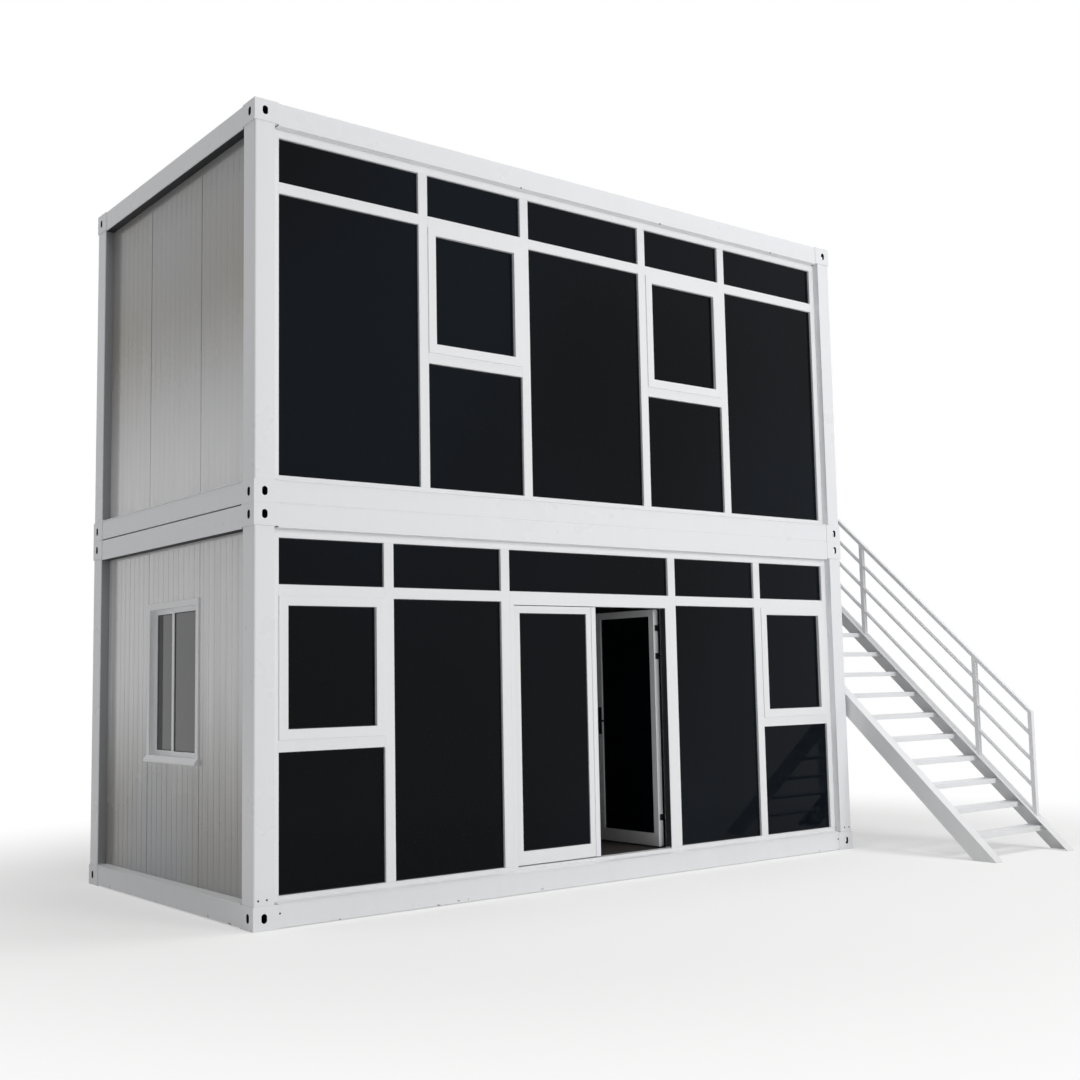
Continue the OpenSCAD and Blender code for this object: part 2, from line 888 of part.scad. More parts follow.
module door_handle() {
    color(black_metal)
        swing_right()
            translate([right_x0 + leaf_stile / 2, leaf_y, leaf_z0 + handle_h]) {
                lever();
                translate([0, leaf_t, 0])
                    mirror([0, 1, 0])
                        lever();
            }
}

module side_door_frame() {
    z0 = upper_z + wall_foot;
    color(alloy)
        translate([module_l - wall_in, 0, 0])
            rotate([90, 0, 90])
                linear_extrude(panel_t)
                    difference() {
                        translate([side_y0 + panel_joint / 2, z0])
                            square([side_door_w - panel_joint, side_z1 - wall_foot]);
                        translate([side_y0 + side_frame_w, upper_z + floor_h])
                            square([side_door_w - 2 * side_frame_w,
                                side_z1 - floor_h - side_frame_w]);
                    }
}

module side_door() {
    x1 = module_l - wall_out - side_leaf_inset;
    y0 = side_y0 + side_frame_w;
    z0 = upper_z + floor_h;
    color(white_paint) {
        block([x1 - side_leaf_t, y0, z0],
            [x1, side_y1 - side_frame_w, upper_z + side_z1 - side_frame_w]);
        translate([x1, y0 + side_handle_set, z0 + handle_h])
            rotate([0, 0, 90])
                lever();
    }
}

// Side outline of a stringer down to a depth below its upper edge, cut level at both ends
module stringer_outline(depth) {
    y0 = stair_edge_y(-depth);
    y1 = landing_y0 + depth;
    intersection() {
        polygon([[y0, stair_edge_z(y0)], [y1, stair_edge_z(y1)],
            [y1, stair_edge_z(y1) - depth], [y0, stair_edge_z(y0) - depth]]);
        translate([toe_y, 0])
            square([landing_y0 - toe_y, landing_z]);
    }
}

// Folded stringer with its web on x = 0 and its upper flange towards +X
module stringer() {
    rotate([90, 0, 90]) {
        linear_extrude(stringer_t)
            stringer_outline(stringer_drop);
        linear_extrude(flange_w)
            stringer_outline(flange_drop);
    }
}

module stair_stringers() {
    color(white_paint) {
        translate([stair_x0, 0, 0])
            stringer();
        translate([stair_x1, 0, 0])
            mirror([1, 0, 0])
                stringer();
    }
}

// Plate treads with a folded front edge
module stair_treads() {
    length = stair_w - 2 * stringer_t;
    color(white_paint)
        for (i = [1 : rises - 1])
            translate([stair_x0 + stringer_t, tread_y(i), i * rise])
                rotate([90, 0, 90])
                    linear_extrude(length)
                        union() {
                            translate([0, -tread_t])
                                square([tread_d, tread_t]);
                            translate([0, -tread_lip])
                                square([tread_t, tread_lip]);
                        }
}

// Rail that follows the stair at a height above the stringer edge
module sloping_rail(height, section, y0, y1) {
    polygon([[y0, stair_edge_z(y0) + height - section], [y1, stair_edge_z(y1) + height - section],
        [y1, stair_edge_z(y1) + height], [y0, stair_edge_z(y0) + height]]);
}

// Heights of the middle rails, evenly spaced under the top rail
function mid_height(i) = i * rail_h / (mid_rails + 1) + mid_rail / 2;

module stair_railing() {
    y0 = rail_posts[0] - rail_post / 2;
    y1 = rail_posts[len(rail_posts) - 1] + rail_post / 2;
    color(white_paint)
        translate([rail_x - rail_post / 2, 0, 0])
            rotate([90, 0, 90])
                linear_extrude(rail_post)
                    union() {
                        sloping_rail(rail_h, top_rail, y0, y1);
                        for (i = [1 : mid_rails])
                            sloping_rail(mid_height(i), mid_rail, y0, y1);
                        for (y = rail_posts)
                            sloping_rail(rail_h, rail_h, y - rail_post / 2, y + rail_post / 2);
                    }
}

module landing_frame() {
    z1 = landing_z - deck_t;
    z0 = z1 - landing_beam_h;
    color(white_paint) {
        difference() {
            block([stair_x0, landing_y0, z0], [stair_x1, module_w, z1]);
            block([stair_x0 + landing_beam_w, landing_y0 + landing_beam_w, z0 - cut],
                [stair_x1 - landing_beam_w, module_w - landing_beam_w, z1 + cut]);
        }
        for (y = [landing_y0 + bracket_w, module_w - casting_d - 2 * bracket_w])
            block([module_l - face, y, upper_z + rail_gap],
                [stair_x0, y + bracket_w, upper_z + casting_h - seal]);
    }
}

module landing_deck() {
    color(sheet_grey)
        block([stair_x0, landing_y0, landing_z - deck_t], [stair_x1, module_w, landing_z]);
}

module landing_legs() {
    z1 = landing_z - deck_t - landing_beam_h;
    inset = (foot_w - leg_w) / 2;
    color(white_paint)
        for (y = [landing_y0 + inset, module_w - leg_w - inset]) {
            block([stair_x1 - leg_w - inset, y, 0], [stair_x1 - inset, y + leg_w, z1]);
            block([stair_x1 - foot_w, y - inset, 0], [stair_x1, y + leg_w + inset, foot_t]);
        }
}

// Level railing outline of one side, along the first axis
module level_railing(length, posts) {
    translate([0, rail_h - top_rail])
        square([length, top_rail]);
    for (i = [1 : mid_rails])
        translate([0, mid_height(i) - mid_rail])
            square([length, mid_rail]);
    for (i = [0 : posts - 1])
        translate([i * (length - rail_post) / (posts - 1), 0])
            square([rail_post, rail_h]);
}

module landing_railing() {
    color(white_paint) {
        translate([rail_x - rail_post / 2, landing_y0, landing_z])
            rotate([90, 0, 90])
                linear_extrude(rail_post)
                    level_railing(landing_l - rail_post - seal, 3);
        translate([stair_x0, module_w, landing_z])
            rotate([90, 0, 0])
                linear_extrude(rail_post)
                    level_railing(rail_x + rail_post / 2 - stair_x0, 3);
    }
}

module lift() {
    translate([0, 0, upper_z])
        children();
}

place() {
    castings();  // lower_castings
    rails();  // lower_rails
    corner_posts();  // lower_corner_posts
    sills();  // lower_sills
    floor_cassette();  // lower_floor
    ceiling_cassette();  // lower_ceiling
    lower_left_wall();
    lower_right_wall();
    back_wall();  // lower_back_wall
    mullions(lower_lines);  // lower_mullions
    lower_transoms();
    sashes(lower_lines, lower_sash_bays);  // lower_sashes
    front_glass(lower_lines, lower_sash_bays);  // lower_glass
    lift() castings();  // upper_castings
    lift() rails();  // upper_rails
    lift() corner_posts();  // upper_corner_posts
    lift() sills();  // upper_sills
    lift() floor_cassette();  // upper_floor
    lift() ceiling_cassette();  // upper_ceiling
    roof_sheet();
    upper_left_wall();
    upper_right_wall();
    lift() back_wall();  // upper_back_wall
    lift() mullions(upper_lines);  // upper_mullions
    upper_transoms();
    lift() sashes(upper_lines, upper_sash_bays);  // upper_sashes
    lift() front_glass(upper_lines, upper_sash_bays);  // upper_glass
    left_window_frame();
    left_window_sashes();
    left_window_glass();
    entrance_jambs();
    entrance_hinges();
    left_leaf();
    left_leaf_glass();
    right_leaf();
    right_leaf_glass();
    door_handle();
    side_door_frame();
    side_door();
    stair_stringers();
    stair_treads();
    stair_railing();
    landing_frame();
    landing_deck();
    landing_legs();
    landing_railing();
}
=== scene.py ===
import json
import math

import bmesh
import bpy
from mathutils import Matrix, Vector

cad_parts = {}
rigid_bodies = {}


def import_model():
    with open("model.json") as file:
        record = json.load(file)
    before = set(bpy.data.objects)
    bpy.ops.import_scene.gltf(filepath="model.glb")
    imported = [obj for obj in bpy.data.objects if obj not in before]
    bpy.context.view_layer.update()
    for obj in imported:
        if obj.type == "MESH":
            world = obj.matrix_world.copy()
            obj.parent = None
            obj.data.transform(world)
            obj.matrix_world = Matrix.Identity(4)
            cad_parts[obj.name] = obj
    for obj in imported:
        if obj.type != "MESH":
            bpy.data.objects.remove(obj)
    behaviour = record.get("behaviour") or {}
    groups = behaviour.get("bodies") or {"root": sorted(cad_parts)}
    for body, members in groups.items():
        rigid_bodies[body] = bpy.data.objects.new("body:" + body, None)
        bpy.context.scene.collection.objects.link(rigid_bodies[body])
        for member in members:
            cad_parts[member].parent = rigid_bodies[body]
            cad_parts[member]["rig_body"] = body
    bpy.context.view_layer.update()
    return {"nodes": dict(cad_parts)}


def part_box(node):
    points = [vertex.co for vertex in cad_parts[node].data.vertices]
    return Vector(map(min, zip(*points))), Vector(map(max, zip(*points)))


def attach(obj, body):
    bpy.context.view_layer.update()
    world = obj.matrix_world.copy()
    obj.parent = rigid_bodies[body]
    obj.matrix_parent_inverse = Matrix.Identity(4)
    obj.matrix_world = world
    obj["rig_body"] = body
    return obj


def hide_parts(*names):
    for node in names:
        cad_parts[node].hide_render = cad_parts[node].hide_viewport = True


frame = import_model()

scene = bpy.context.scene
scene.view_settings.view_transform = "Standard"
mm = 0.001
weld = 0.02  # millimetres within which points count as one
upward, frontward = Vector((0, 0, 1)), Vector((0, -1, 0))
frontLeft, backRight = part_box("lower_castings")  # outer corners of the lower module
length, depth, storey = (round(side / mm) for side in backRight - frontLeft)


# a place on the cabin, in millimetres from its front left corner on the ground
def at(x, y, z):
    return frontLeft + Vector((x, y, z)) * mm


# screen levels from 0 to 255 as linear light
def tone(r, g, b):
    return [((c / 255 + 0.055) / 1.055) ** 2.4 if c > 10 else c / 255 / 12.92 for c in (r, g, b)]


print("frame loaded:", len(frame["nodes"]), "nodes, module of", length, depth, storey)

# camera of the photograph, worked out from the corners of the cabin
photoView = {"spot": (-3999, -8212, 1590), "yaw": 37.94, "pitch": 5.84, "roll": -1.11, "lens": 45.22,
             "sensor": 36, "reach": 300}


def makeCamera(view):
    yaw, pitch, roll = (math.radians(view[k]) for k in ("yaw", "pitch", "roll"))
    right = Vector((math.cos(yaw), -math.sin(yaw), 0))
    ahead = Vector((math.sin(yaw) * math.cos(pitch), math.cos(yaw) * math.cos(pitch), math.sin(pitch)))
    up = right.cross(ahead)
    side = right * math.cos(roll) + up * math.sin(roll)
    top = up * math.cos(roll) - right * math.sin(roll)
    data = bpy.data.cameras.new("photoCamera")
    data.lens = view["lens"]
    data.sensor_width = view["sensor"]
    data.clip_end = view["reach"]
    camera = bpy.data.objects.new("photoCamera", data)
    scene.collection.objects.link(camera)
    turn = Matrix((side, top, -ahead)).transposed().to_4x4()
    camera.matrix_world = Matrix.Translation(at(*view["spot"])) @ turn
    scene.camera = camera


makeCamera(photoView)
print("camera placed")


# one output of a shader node: arithmetic on it adds Math nodes
class Wire:
    def __init__(self, finish, socket):
        self.finish = finish
        self.socket = socket

    def math(self, operation, *values):
        return self.finish.node("ShaderNodeMath", {"operation": operation}, dict(enumerate(values)))

    def __add__(self, other):
        return self.math("ADD", self, other)

    def __radd__(self, other):
        return self.math("ADD", other, self)

    def __sub__(self, other):
        return self.math("SUBTRACT", self, other)

    def __rsub__(self, other):
        return self.math("SUBTRACT", other, self)

    def __mul__(self, other):
        return self.math("MULTIPLY", self, other)

    def __rmul__(self, other):
        return self.math("MULTIPLY", other, self)

    def held(self):  # kept between 0 and 1
        return self.math("MINIMUM", self.math("MAXIMUM", self, 0.0), 1.0)

    def step(self, low, high):  # smooth rise from low to high
        return self.finish.node("ShaderNodeMapRange", {"interpolation_type": "SMOOTHSTEP"},
                                {"Value": self, "From Min": low, "From Max": high})


# a material or a world under construction
class Finish:
    def __init__(self, name, kind="materials", shader="Principled BSDF", **constants):
        self.owner = getattr(bpy.data, kind).new(name)
        self.owner.use_nodes = True
        self.tree = self.owner.node_tree
        self.surface = self.tree.nodes[shader]
        for key, value in constants.items():
            self.surface.inputs[key.replace("_", " ")].default_value = value

    def node(self, kind, settings=None, sockets=None, out=0):
        made = self.tree.nodes.new(kind)
        for key, value in (settings or {}).items():
            setattr(made, key, value)
        for key, value in (sockets or {}).items():
            self.feed(made.inputs[key], value)
        return Wire(self, made.outputs[out])

    def feed(self, socket, value):
        if isinstance(value, Wire):
            self.tree.links.new(value.socket, socket)
        elif isinstance(value, (list, tuple)) and len(socket.default_value) == 4:
            socket.default_value = (*value[:3], 1)
        else:
            socket.default_value = value

    def mix(self, first, second, share):  # colours
        return self.node("ShaderNodeMix", {"data_type": "RGBA"}, {0: share, 6: first, 7: second}, 2)

    def place(self, stretch=(1, 1, 1)):  # position on the object, in metres
        spot = self.node("ShaderNodeTexCoord", out="Object")
        if stretch == (1, 1, 1):
            return spot
        return self.node("ShaderNodeVectorMath", {"operation": "MULTIPLY"}, {0: spot, 1: stretch})

    def axis(self, letter):
        return self.node("ShaderNodeSeparateXYZ", None, {0: self.place()}, letter)

    def noise(self, scale, detail=3.0, stretch=(1, 1, 1), rough=0.55):
        return self.node("ShaderNodeTexNoise", None, {
            "Vector": self.place(stretch), "Scale": scale, "Detail": detail, "Roughness": rough})

    def seen(self):  # 1 on rays from the camera, mirrors and glass
        rays = [self.node("ShaderNodeLightPath", out=k) for k in
                ("Is Camera Ray", "Is Glossy Ray", "Is Transmission Ray")]
        return (rays[0] + rays[1] + rays[2]).held()

    def bump(self, height, distance, strength=1.0):
        lifted = self.node("ShaderNodeBump", None,
                           {"Height": height, "Distance": distance, "Strength": strength})
        self.feed(self.surface.inputs["Normal"], lifted)

    def finish(self, **wires):
        for key, value in wires.items():
            self.feed(self.surface.inputs[key.replace("_", " ")], value)
        return self.owner


# white gloss paint on steel and alloy, dusty low down, chipped along the lowest edge
def whitePaint(name, look):
    f = Finish(name, Specular_IOR_Level=0.5)
    z = f.axis("Z")
    cloud = f.noise(1.6, 4)
    streak = f.noise(9, 3, (1, 1, 0.07))
    speck = f.noise(120, 2)
    low = 1 - z.step(0.02, look["dustHeight"])
    dust = (low * (cloud * 0.9 + streak * 0.5) * look["dust"]).held()
    paint = f.mix(look["base"], look["shade"], (streak.step(0.45, 0.75) * look["streaks"]).held())
    paint = f.mix(paint, look["dustTone"], dust)
    chip = f.noise(22, 5, (1, 1, 2.2)).step(0.66, 0.69) * (1 - z.step(0.012, 0.04))
    scuff = f.noise(55, 4, (0.6, 0.6, 2)).step(0.74, 0.78) * look["scuffs"]
    paint = f.mix(paint, look["primer"], (chip + scuff * 0.6).held())
    f.bump(speck * 0.35 + f.noise(420, 1) * 0.25 + f.noise(3.2, 2) * 3.5 - chip * 2, 0.0005, 0.35)
    return f.finish(Base_Color=paint,
                    Roughness=(look["rough"] + cloud * 0.14 + dust * 0.4 + scuff * 0.2).held())


framePaint = whitePaint("framePaint", {
    "base": tone(238, 239, 242), "shade": tone(224, 225, 228), "dustTone": tone(192, 188, 180),
    "primer": tone(92, 88, 84), "rough": 0.22, "dust": 0.1, "dustHeight": 0.45,
    "streaks": 0.06, "scuffs": 0.05})
alloyWhite = whitePaint("alloyWhite", {
    "base": tone(240, 241, 243), "shade": tone(230, 231, 234), "dustTone": tone(200, 196, 188),
    "primer": tone(150, 150, 150), "rough": 0.24, "dust": 0.08, "dustHeight": 0.45,
    "streaks": 0.05, "scuffs": 0.04})
stairPaint = whitePaint("stairPaint", {
    "base": tone(237, 238, 240), "shade": tone(222, 223, 225), "dustTone": tone(176, 172, 164),
    "primer": tone(108, 105, 102), "rough": 0.28, "dust": 0.24, "dustHeight": 0.7,
    "streaks": 0.14, "scuffs": 0.3})

# thin film on the panels in clouds, and a darker painted reflection in a band between two heights in metres
filmAndDarkReflectionZone = {"cloud": (0.35, 0.65), "from": (3.6, 4.1), "to": (4.3, 5.2), "share": 0.6}


# glossy grey coil coating of the sandwich panels: slight waves, and a pale band of painted reflection that
# ends in streaks
def panelCoat(name, look):
    f = Finish(name, Specular_IOR_Level=0.3, Coat_Roughness=0.06)
    cloud = f.noise(0.8, 2, (1, 1, 0.6))
    streak = f.noise(11, 3, (1, 1, 0.05))
    ragged = f.axis("Z") + (streak - 0.5) * look["ragged"]
    zincBloomAndPaintedSheen = ragged.step(*look["paintedSheenFrom"]) * (1 - ragged.step(*look["paintedSheenTo"]))
    band = ragged.step(*filmAndDarkReflectionZone["from"]) * (1 - ragged.step(*filmAndDarkReflectionZone["to"]))
    # film in clouds, and painted darker reflection in the high band
    filmAndDarkReflection = (cloud.step(*filmAndDarkReflectionZone["cloud"]) + band) * filmAndDarkReflectionZone["share"]
    coat = f.mix(look["base"], look["filmAndDarkReflection"], filmAndDarkReflection.held())
    # painted reflection: a pale band between two heights, with more coat where it lies
    coat = f.mix(coat, look["paintedReflectionTone"], (zincBloomAndPaintedSheen * (0.6 + streak * 0.5) * look["zincBloomAndPaintedSheen"]).held())
    f.bump(f.noise(2.4, 2, (1, 1, 0.1)) + f.noise(300, 1) * 0.003, 0.006, 0.4)
    return f.finish(Base_Color=coat, Roughness=(0.22 + cloud * 0.08 + zincBloomAndPaintedSheen * 0.06).held(),
                    Coat_Weight=(look["gloss"] + zincBloomAndPaintedSheen * (1 - look["gloss"]) * look["zincBloomAndPaintedSheen"]).held())


panelPaint = panelCoat("panelPaint", {
    "base": tone(184, 185, 187), "filmAndDarkReflection": tone(175, 173, 168), "paintedReflectionTone": tone(206, 206, 207),
    "paintedSheenFrom": (0.6, 1.7), "paintedSheenTo": (3.1, 4.4), "ragged": 0.5, "zincBloomAndPaintedSheen": 0.5, "gloss": 0.4})
# the left end walls: the panel coat made darker as painted shade, with a strong band of painted reflection
leftPanelPaintWithShadeAndSheen = panelCoat("leftPanelPaintWithShadeAndSheen", {
    "base": tone(156, 157, 160), "filmAndDarkReflection": tone(154, 151, 143), "paintedReflectionTone": tone(232, 232, 234),
    "paintedSheenFrom": (0.45, 1.8), "paintedSheenTo": (3.0, 4.6), "ragged": 0.4, "zincBloomAndPaintedSheen": 0.9, "gloss": 0.25})
liningPaint = panelCoat("liningPaint", {
    "base": tone(222, 222, 219), "filmAndDarkReflection": tone(217, 217, 212), "paintedReflectionTone": tone(226, 226, 224),
    "paintedSheenFrom": (0.8, 1.4), "paintedSheenTo": (3.3, 4.0), "ragged": 0.8, "zincBloomAndPaintedSheen": 0.4, "gloss": 0.3})


# dark tinted double glazing: nearly flat, with broad paler patches of painted reflection and a trace of dust
def darkGlazing(name, look):
    f = Finish(name, Specular_IOR_Level=look["gloss"], IOR=1.5)
    smear = f.noise(2.4, 4, (1, 1, 0.5))
    # the deep tint of the glass, with paler patches of painted reflection
    tintAndPaintedReflection = f.mix(look["deep"], look["paintedReflectionTone"], (f.noise(0.35, 1).step(0.3, 0.7) * 0.8).held())
    dust = (f.noise(60, 3).step(0.6, 0.8) * smear * 0.06).held()
    f.bump(f.noise(0.8, 1), 0.004, 0.5)
    return f.finish(Base_Color=f.mix(tintAndPaintedReflection, look["dustTone"], dust),
                    Roughness=(0.015 + smear * 0.035).held())


darkGlass = darkGlazing("darkGlass", {
    "deep": tone(4, 6, 9), "paintedReflectionTone": tone(10, 18, 27), "dustTone": tone(120, 124, 128), "gloss": 0.08})
greyGlass = darkGlazing("greyGlass", {
    "deep": tone(74, 75, 76), "paintedReflectionTone": tone(92, 92, 90), "dustTone": tone(140, 140, 138), "gloss": 0.4})


# satin coat of hinges and handles, and dark and grey rubber of the seals; the black coat also stands as
# painted shade in the castings' hollows, and the two rubbers as painted shade beside the posts and under the
# top rails
def satinCoat(name, look):
    f = Finish(name, Specular_IOR_Level=0.4)
    worn = f.noise(160, 3)
    f.bump(f.noise(700, 2), 0.0003, 0.5)
    return f.finish(Base_Color=f.mix(look["base"], look["worn"], worn.step(0.55, 0.8) * 0.6),
                    Roughness=(look["rough"] + worn * 0.15).held())


blackMetalAndPaintedShade = satinCoat("blackMetalAndPaintedShade", {"base": tone(24, 24, 26), "worn": tone(62, 62, 64), "rough": 0.35})
greyRubberAndPaintedShade = satinCoat("greyRubberAndPaintedShade", {"base": tone(154, 155, 157), "worn": tone(168, 168, 168), "rough": 0.6})
blackRubberAndPaintedShade = satinCoat("blackRubberAndPaintedShade", {"base": tone(33, 34, 36), "worn": tone(58, 58, 58), "rough": 0.6})


# bright zinc of screws and bolts
def zincCoat(name):
    f = Finish(name, Metallic=1.0)
    zincBloomAndPaintedSheen = f.noise(90, 3)
    f.bump(f.noise(500, 2), 0.0002, 0.4)
    return f.finish(Base_Color=f.mix(tone(182, 184, 188), tone(138, 138, 136), zincBloomAndPaintedSheen.step(0.45, 0.7)),
                    Roughness=(0.28 + zincBloomAndPaintedSheen * 0.25).held())


zinc = zincCoat("zinc")


# coated roof sheet with streaks of dirt
def roofCoat(name):
    f = Finish(name, Specular_IOR_Level=0.5)
    flake = f.node("ShaderNodeTexVoronoi", {"feature": "F1"}, {"Vector": f.place(), "Scale": 45.0})
    dirt = f.noise(2.2, 5, (1, 0.2, 1)).step(0.42, 0.7)
    f.bump(flake * 0.5 + f.noise(2, 2) * 4, 0.0006, 0.3)
    return f.finish(Base_Color=f.mix(tone(178, 181, 184), tone(146, 144, 139), (dirt * 0.7).held()),
                    Roughness=(0.36 + flake * 0.1 + dirt * 0.2).held())


roofSteel = roofCoat("roofSteel")


# sheet floor with long boards printed on it
def boardFloor(name):
    f = Finish(name, Specular_IOR_Level=0.4)
    grain = f.noise(7, 5, (0.6, 9, 1))
    boards = f.node("ShaderNodeTexBrick", {"offset": 0.37},
                    {"Vector": f.place(), "Scale": 1.0, "Brick Width": 1.2, "Row Height": 0.18,
                     "Mortar Size": 0.002, "Color1": tone(58, 55, 52), "Color2": tone(66, 63, 60),
                     "Mortar": tone(34, 32, 30)})
    f.bump(grain, 0.0004, 0.4)
    return f.finish(Base_Color=f.mix(boards, tone(44, 41, 38), (grain.step(0.4, 0.75) * 0.5).held()),
                    Roughness=(0.38 + grain * 0.25).held())


floorBoard = boardFloor("floorBoard")
print("finishes made:", len(bpy.data.materials))


# loose solids of a node, each as a list of corner points
def solidsOf(node):
    bm = bmesh.new()
    bm.from_mesh(frame["nodes"][node].data)
    bmesh.ops.remove_doubles(bm, verts=bm.verts, dist=weld * mm)
    left, found = set(bm.verts), []
    while left:
        stack, part = [left.pop()], []
        while stack:
            v = stack.pop()
            part.append(v.co.copy())
            for e in v.link_edges:
                w = e.other_vert(v)
                if w in left:
                    left.remove(w)
                    stack.append(w)
        found.append(part)
    bm.free()
    return found


# lowest and highest corner of a list of points
def spanOf(points):
    low = Vector([min(p[i] for p in points) for i in range(3)])
    high = Vector([max(p[i] for p in points) for i in range(3)])
    return low, high


# a new piece from a finished bmesh
def makePiece(name, bm, material, body, smooth=35):
    mesh = bpy.data.meshes.new(name)
    bmesh.ops.recalc_face_normals(bm, faces=bm.faces)
    bm.to_mesh(mesh)
    bm.free()
    mesh.materials.append(material)
    mesh.shade_smooth()
    mesh.set_sharp_from_angle(angle=math.radians(smooth))
    piece = bpy.data.objects.new(name, mesh)
    scene.collection.objects.link(piece)
    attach(piece, body)
    return piece


# steel and alloy pieces get the small folded or drawn edges that the plain solids lack
dressed = [
    {"material": framePaint, "slot": "frame_paint", "edge": 2.5, "nodes": [
        "lower_rails", "lower_corner_posts", "upper_rails", "upper_corner_posts", "side_door"]},
    # castings, with painted shade in their hollows
    {"material": framePaint, "slot": "frame_paint", "edge": 2.5,
     "inside": {"material": blackMetalAndPaintedShade, "depth": 3}, "nodes": ["lower_castings", "upper_castings"]},
    {"material": alloyWhite, "slot": "alloy_white", "edge": 1.6, "nodes": [
        "lower_sills", "upper_sills", "lower_mullions", "upper_mullions", "lower_transoms",
        "upper_transoms", "lower_sashes", "upper_sashes", "left_window_frame", "left_window_sashes",
        "entrance_jambs", "left_leaf", "right_leaf", "side_door_frame"]},
    {"material": panelPaint, "slot": "panel_paint", "edge": 2, "nodes": [
        "lower_right_wall", "lower_back_wall", "upper_right_wall", "upper_back_wall"]},
    {"material": leftPanelPaintWithShadeAndSheen, "slot": "panel_paint", "edge": 2, "nodes": ["lower_left_wall"]},
    {"material": leftPanelPaintWithShadeAndSheen, "slot": "panel_paint", "edge": 2,
     "grooves": {"from": 0.5, "to": 4, "share": 0.45}, "nodes": ["upper_left_wall"]},
    {"material": stairPaint, "slot": "stair_paint", "edge": 1.8, "nodes": [
        "stair_stringers", "stair_treads", "stair_railing", "landing_frame", "landing_deck",
        "landing_legs", "landing_railing"]},
    {"material": blackMetalAndPaintedShade, "slot": "black_metal", "edge": 0.8, "nodes": [
        "entrance_hinges", "door_handle"]},
]
foldAngles = {"flat": 1, "sharp": 32}  # degrees
edgeForm = {"segments": 2, "profile": 0.5, "affect": "EDGES", "clamp_overlap": True}


# makes the grooves of a wall that faces -X shallower
def easeGrooves(bm, look):
    face = min(v.co.x for v in bm.verts)
    for v in bm.verts:
        sunk = v.co.x - face
        if look["from"] * mm < sunk < look["to"] * mm:
            v.co.x = face + sunk * look["share"]


# paints shade into each casting's hollow: a dark second finish on the faces further in than its rounded slot
# edges
def paintShadeInside(piece, node, look):
    inset = Vector((1, 1, 1)) * look["depth"] * mm
    piece.data.materials.append(look["material"])
    for points in solidsOf(node):
        low, high = spanOf(points)
        low, high = low + inset, high - inset
        for face in piece.data.polygons:
            if all(low[i] < face.center[i] < high[i] for i in range(3)):
                face.material_index = 1


def dressNode(node, look):
    bm = bmesh.new()
    bm.from_mesh(frame["nodes"][node].data)
    bmesh.ops.remove_doubles(bm, verts=bm.verts, dist=weld * mm)
    bmesh.ops.dissolve_limit(bm, angle_limit=math.radians(foldAngles["flat"]), verts=bm.verts,
                             edges=bm.edges)
    if "grooves" in look:
        easeGrooves(bm, look["grooves"])
    sharp = [e for e in bm.edges
             if len(e.link_faces) == 2 and e.calc_face_angle() > math.radians(foldAngles["sharp"])]
    bmesh.ops.bevel(bm, geom=sharp, offset=look["edge"] * mm, **edgeForm)
    body = frame["nodes"][node]["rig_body"]
    piece = makePiece(node + "_dressed", bm, look["material"], body)
    smooth = piece.modifiers.new("smooth", "WEIGHTED_NORMAL")
    smooth.keep_sharp = True
    if "inside" in look:
        paintShadeInside(piece, node, look["inside"])
    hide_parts(node)


for group in dressed:
    for node in group["nodes"]:
        dressNode(node, group)

# nodes that keep their solids and get a finish alone
plainNodes = {"lower_glass": darkGlass, "upper_glass": darkGlass, "left_leaf_glass": darkGlass,
              "right_leaf_glass": darkGlass, "left_window_glass": greyGlass,
              "lower_floor": floorBoard, "upper_floor": floorBoard, "lower_ceiling": liningPaint,
              "upper_ceiling": liningPaint, "roof_sheet": roofSteel}
for node, material in plainNodes.items():
    data = frame["nodes"][node].data
    data.materials.clear()
    data.materials.append(material)
print("nodes dressed")

# rubber seal round both faces of every pane
seals = {"width": 6, "high": 3.2, "low": 0.6, "panes": {
    "lower_glass": "cabin", "upper_glass": "cabin", "left_window_glass": "cabin",
    "left_leaf_glass": "left_door", "right_leaf_glass": "right_door"}}


# a lower corner of a pane, its two sides on the ground plan and its height
def paneSides(points):
    low, high = min(p.z for p in points), max(p.z for p in points)
    foot = [p for p in points if p.z - low < mm]
    first = foot[0]
    near, far = sorted(foot[1:], key=lambda p: (p - first).length)[:2]
    across, through = far - first, near - first
    across.z = through.z = 0
    return first, across, through, high - low


def addSeal(bm, corner, across, up, out, look):
    along, rise, out = across.normalized(), up.normalized(), out.normalized()
    spots = [corner, corner + across, corner + across + up, corner + up]
    inward = [along + rise, rise - along, -along - rise, along - rise]
    rows = []
    for spot, turn in zip(spots, inward):
        rows.append([bm.verts.new(spot), bm.verts.new(spot + out * look["high"] * mm),
                     bm.verts.new(spot + turn * look["width"] * mm + out * look["low"] * mm),
                     bm.verts.new(spot + turn * look["width"] * mm)])
    for i in range(4):
        here, there = rows[i], rows[(i + 1) % 4]
        for k in range(4):
            n = (k + 1) % 4
            bm.faces.new((here[k], there[k], there[n], here[n]))


for node, body in seals["panes"].items():
    bm = bmesh.new()
    for points in solidsOf(node):
        corner, across, through, tall = paneSides(points)
        up = Vector((0, 0, tall))
        addSeal(bm, corner, across, up, -through, seals)
        addSeal(bm, corner + through, across, up, through, seals)
    makePiece(node + "_seals", bm, blackRubberAndPaintedShade, body)
print("seals fitted")


# closed body through rings of points
def addRings(bm, rings):
    rows = [[bm.verts.new(p) for p in points] for points in rings]
    for lower, upper in zip(rows, rows[1:]):
        for i in range(len(lower)):
            n = (i + 1) % len(lower)
            bm.faces.new((lower[i], lower[n], upper[n], upper[i]))
    bm.faces.new(rows[0][::-1])
    bm.faces.new(rows[-1])


